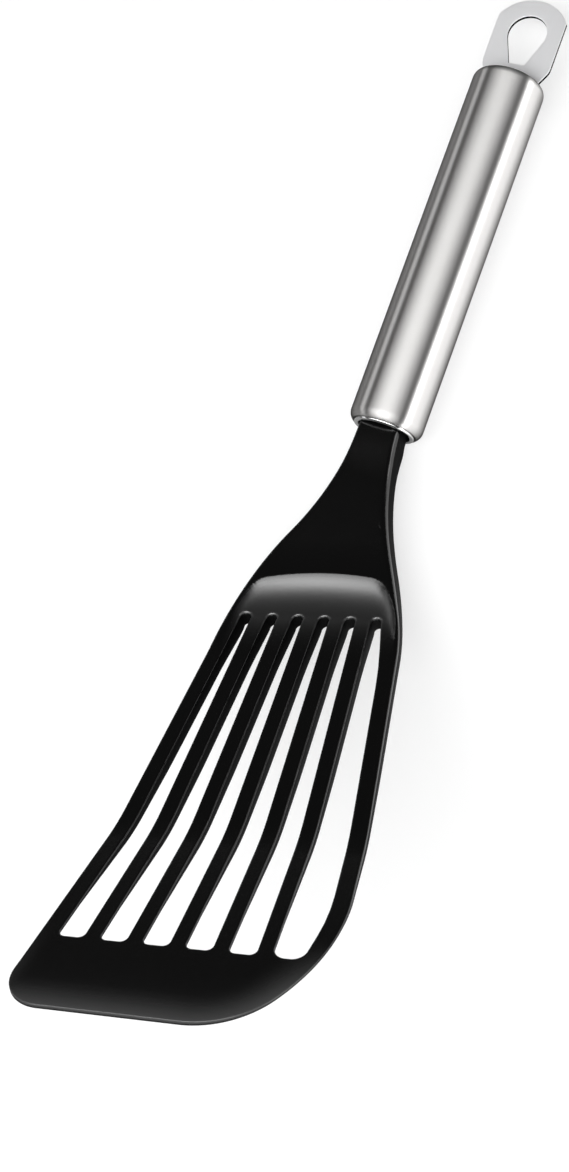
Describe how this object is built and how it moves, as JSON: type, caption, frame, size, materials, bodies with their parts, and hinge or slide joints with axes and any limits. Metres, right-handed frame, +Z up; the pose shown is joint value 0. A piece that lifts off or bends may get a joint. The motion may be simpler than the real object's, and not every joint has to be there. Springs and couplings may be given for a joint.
{
  "type": "fish spatula",
  "caption": "Slotted nylon turner with a slanted thin-edged blade, a round brushed steel handle and a flat hanging tab.",
  "frame": {"origin": "on the surface that the handle lies on, under the middle of the object's box seen from above", "axes": "+Z up, the side that food lies on; +Y along the handle from the head to the hanging tab; +X to the right when the tab points away"},
  "size_m": [0.0813, 0.3207, 0.0993],
  "materials": {
    "black_nylon": "satin",
    "core_nylon": "matte",
    "brushed_steel": "brushed round the handle",
    "polished_steel": "polished",
    "stamped_steel": "satin",
    "tang_steel": "bare"
  },
  "bodies": {
    "root": {"turner_head": "black_nylon", "tang": "tang_steel", "tang_core": "core_nylon", "core_pin_front": "tang_steel", "core_pin_rear": "tang_steel", "front_collar": "polished_steel", "handle_tube": "brushed_steel", "end_cap": "brushed_steel", "hang_tab": "stamped_steel", "tab_pin": "tang_steel"}
  },
  "joints": []
}
